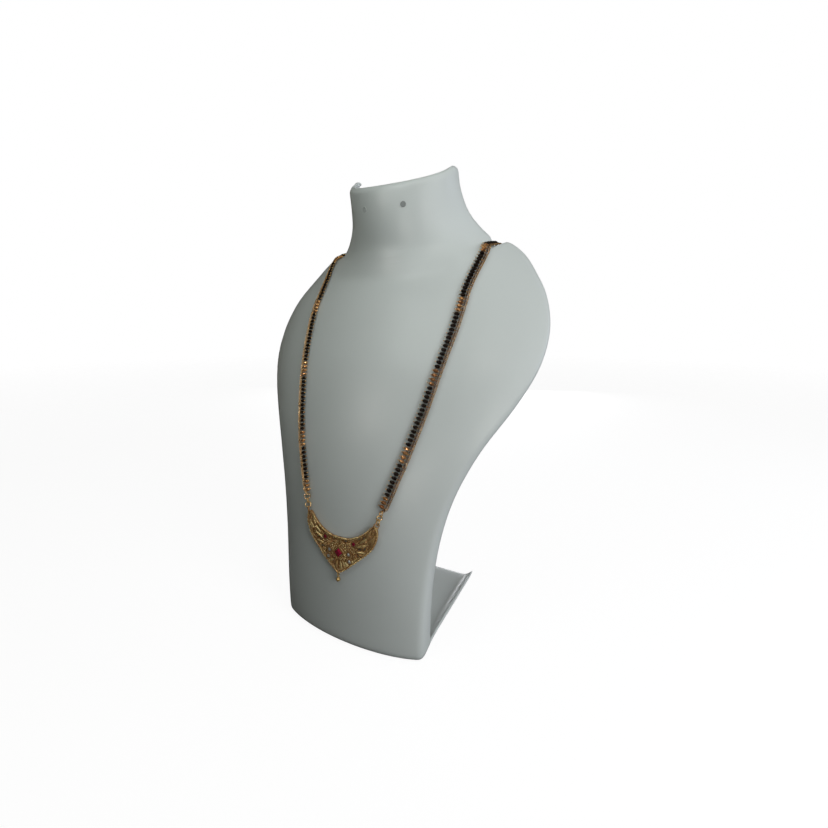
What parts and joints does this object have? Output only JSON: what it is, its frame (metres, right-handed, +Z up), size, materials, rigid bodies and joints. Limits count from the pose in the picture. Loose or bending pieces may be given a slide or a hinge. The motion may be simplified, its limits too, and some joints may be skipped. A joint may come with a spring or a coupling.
{
  "type": "mangalsutra on a neck bust",
  "caption": "Mangalsutra with black and gold beads and a pierced gold V pendant set with red and white stones, worn on a plain open-backed neck bust with a flat base",
  "frame": {"origin": "under the middle of the whole, on the surface it stands on", "axes": "+Z up, -Y the way the chest faces, +X the wearer's left"},
  "size_m": [0.2074, 0.115, 0.3016],
  "materials": {
    "white_plastic": "satin",
    "gold": "polished",
    "black_glass": "polished",
    "ruby": "faceted",
    "white_stone": "faceted"
  },
  "bodies": {
    "root": {"neck_bust": "white_plastic", "pendant_plate": "gold", "ruby_stone": "ruby", "side_ruby_left": "ruby", "side_ruby_right": "ruby", "white_stone_upper_left": "white_stone", "white_stone_upper_right": "white_stone", "white_stone_lower_left": "white_stone", "white_stone_lower_right": "white_stone", "drop_ring": "gold", "drop_bead": "gold", "pendant_ring_left": "gold", "pendant_ring_right": "gold", "strand_ring_left": "gold", "strand_ring_right": "gold", "gold_chain_left": "gold", "gold_chain_right": "gold", "black_beads_left": "black_glass", "black_beads_right": "black_glass", "gold_beads_left": "gold", "gold_beads_right": "gold", "clasp": "gold"}
  },
  "joints": []
}
